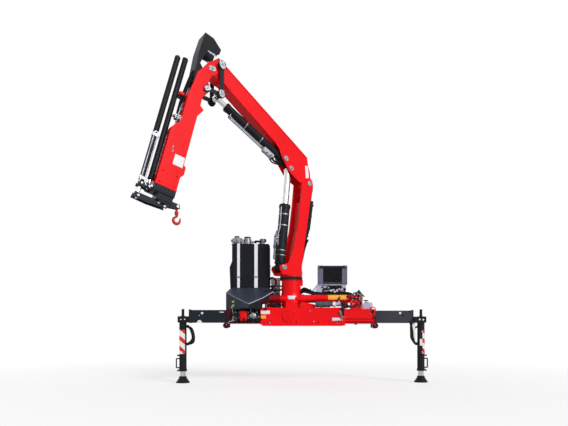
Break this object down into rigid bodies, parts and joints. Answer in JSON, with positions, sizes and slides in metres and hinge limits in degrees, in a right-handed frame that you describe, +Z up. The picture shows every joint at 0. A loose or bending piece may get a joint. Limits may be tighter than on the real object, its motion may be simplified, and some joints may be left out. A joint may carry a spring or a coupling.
{
  "type": "knuckle boom loader crane",
  "caption": "Folding loader crane on a base with telescopic stabiliser beams and legs, a slewing column, a two-part boom with extensions and a swivel hook.",
  "frame": {"origin": "centre of the underside of the base, midway between its four chassis studs", "axes": "+Z up, X across the chassis with +X towards the cooler, +Y along the chassis away from the control side"},
  "size_m": [3.983, 1.626, 4.6072],
  "materials": {
    "red_paint": "gloss",
    "black_paint": "satin",
    "black_plastic": "matt",
    "grey_paint": "satin",
    "chrome_rod": "polished",
    "zinc_steel": "zinc plated",
    "orange_paint": "gloss"
  },
  "bodies": {
    "root": {"base_frame": "red_paint", "stabiliser_housing": "red_paint", "housing_plates": "red_paint", "beam_rollers": "black_paint", "column_post": "red_paint", "slew_ring": "black_paint", "slew_rack_cylinders": "red_paint", "oil_tank": "black_plastic", "tank_cradle": "red_paint", "tank_straps": "zinc_steel", "tank_caps": "zinc_steel", "valve_plate": "zinc_steel", "control_cover": "grey_paint", "left_valve_bank": "zinc_steel", "left_levers": "black_paint", "oil_cooler": "grey_paint", "cooler_bracket": "red_paint", "return_filter": "grey_paint", "right_valve_block": "grey_paint", "end_plate": "zinc_steel", "beam_lock_levers": "black_paint"},
    "column": {"column": "red_paint", "main_pivot_pin": "zinc_steel", "lift_base_pin": "zinc_steel", "column_hose_guard": "black_plastic"},
    "lift_barrel": {"lift_cylinder_barrel": "black_paint", "lift_cylinder_valve": "zinc_steel"},
    "lift_rod": {"lift_cylinder_rod": "chrome_rod"},
    "inner_boom": {"inner_boom": "red_paint", "inner_boom_pins": "zinc_steel", "lifting_eye": "red_paint"},
    "fold_barrel": {"fold_cylinder_barrel": "black_paint", "fold_cylinder_valve": "zinc_steel"},
    "fold_rod": {"fold_cylinder_rod": "chrome_rod"},
    "link_inner": {"knuckle_link_inner": "black_paint"},
    "link_outer": {"knuckle_link_outer": "black_paint"},
    "outer_boom": {"outer_boom": "red_paint", "knuckle_pin": "zinc_steel", "extension_cylinder_1_barrel": "black_paint", "hose_guard": "black_plastic", "boom_valve": "zinc_steel"},
    "extension_1": {"extension_1": "black_paint", "extension_cylinder_1_rod": "chrome_rod", "extension_cylinder_2_barrel": "black_paint", "extension_pipes": "zinc_steel"},
    "extension_2": {"extension_2": "black_paint", "extension_cylinder_2_rod": "chrome_rod", "hook_pin": "zinc_steel"},
    "hook_swivel": {"hook_swivel": "orange_paint"},
    "hook": {"hook": "orange_paint"},
    "left_beam": {"left_beam": "grey_paint", "left_leg_tube": "black_paint", "left_leg_trim": "black_paint"},
    "left_leg": {"left_leg_rod": "chrome_rod", "left_pad": "black_paint"},
    "right_beam": {"right_beam": "grey_paint", "right_leg_tube": "black_paint", "right_leg_trim": "black_paint"},
    "right_leg": {"right_leg_rod": "chrome_rod", "right_pad": "black_paint"}
  },
  "joints": [
    {"name": "slew", "type": "hinge", "parent": "root", "child": "column", "pos_m": [-0.14, 0, 0.69], "axis": [0, 0, 1], "range_deg": [-190, 190]},
    {"name": "boom_lift", "type": "hinge", "parent": "column", "child": "inner_boom", "pos_m": [0.05505, 0.12188, 2.058], "axis": [-0.5299, 0.848, 0], "range_deg": [-35, 38]},
    {"name": "lift_barrel_swing", "type": "hinge", "parent": "column", "child": "lift_barrel", "pos_m": [-0.30961, -0.10598, 0.822], "axis": [-0.5299, 0.848, 0], "range_deg": [-20, 20]},
    {"name": "lift_rod_slide", "type": "slide", "parent": "lift_barrel", "child": "lift_rod", "axis": [0.0842, 0.0526, 0.9951], "range_m": [-0.22, 0.22]},
    {"name": "knuckle", "type": "hinge", "parent": "inner_boom", "child": "outer_boom", "pos_m": [-1.23737, -0.68572, 3.345], "axis": [0.5299, -0.848, 0], "range_deg": [-112, 10]},
    {"name": "fold_barrel_swing", "type": "hinge", "parent": "inner_boom", "child": "fold_barrel", "pos_m": [-0.26466, -0.0779, 2.368], "axis": [0.5299, -0.848, 0], "range_deg": [-12, 12]},
    {"name": "fold_rod_slide", "type": "slide", "parent": "fold_barrel", "child": "fold_rod", "axis": [-0.7175, -0.4483, 0.5331], "range_m": [-0.06, 0.52]},
    {"name": "link_inner_swing", "type": "hinge", "parent": "inner_boom", "child": "link_inner", "pos_m": [-1.13815, -0.62372, 3.406], "axis": [0.5299, -0.848, 0], "range_deg": [-90, 12]},
    {"name": "link_outer_swing", "type": "hinge", "parent": "link_inner", "child": "link_outer", "pos_m": [-1.14494, -0.62795, 3.022], "axis": [0.5299, -0.848, 0], "range_deg": [-14, 14]},
    {"name": "extension_1_slide", "type": "slide", "parent": "outer_boom", "child": "extension_1", "axis": [-0.2338, -0.1461, -0.9613], "range_m": [0, 1.05]},
    {"name": "extension_2_slide", "type": "slide", "parent": "extension_1", "child": "extension_2", "axis": [-0.2338, -0.1461, -0.9613], "range_m": [0, 1.05]},
    {"name": "hook_swing", "type": "hinge", "parent": "extension_2", "child": "hook_swivel", "pos_m": [-1.61978, -0.92467, 1.50397], "axis": [0.5299, -0.848, 0], "range_deg": [-50, 50]},
    {"name": "hook_turn", "type": "hinge", "parent": "hook_swivel", "child": "hook", "pos_m": [-1.61978, -0.92467, 1.41997], "axis": [0, 0, 1], "continuous": true},
    {"name": "left_beam_slide", "type": "slide", "parent": "root", "child": "left_beam", "axis": [-1, 0, 0], "range_m": [-0.45, 0.55]},
    {"name": "left_leg_slide", "type": "slide", "parent": "left_beam", "child": "left_leg", "axis": [0, 0, -1], "range_m": [-0.06, 0.45]},
    {"name": "right_beam_slide", "type": "slide", "parent": "root", "child": "right_beam", "axis": [1, 0, 0], "range_m": [-0.45, 0.55]},
    {"name": "right_leg_slide", "type": "slide", "parent": "right_beam", "child": "right_leg", "axis": [0, 0, -1], "range_m": [-0.06, 0.45]}
  ],
  "couplings": [
    {"joint": "lift_barrel_swing", "follows": "boom_lift", "ratio": 0.10227},
    {"joint": "lift_rod_slide", "follows": "boom_lift", "m_per_rad": 0.28703},
    {"joint": "fold_barrel_swing", "follows": "knuckle", "ratio": 0.02023},
    {"joint": "fold_rod_slide", "follows": "knuckle", "m_per_rad": -0.24577},
    {"joint": "link_inner_swing", "follows": "knuckle", "ratio": 0.6971},
    {"joint": "link_outer_swing", "follows": "knuckle", "ratio": 0.07422}
  ]
}
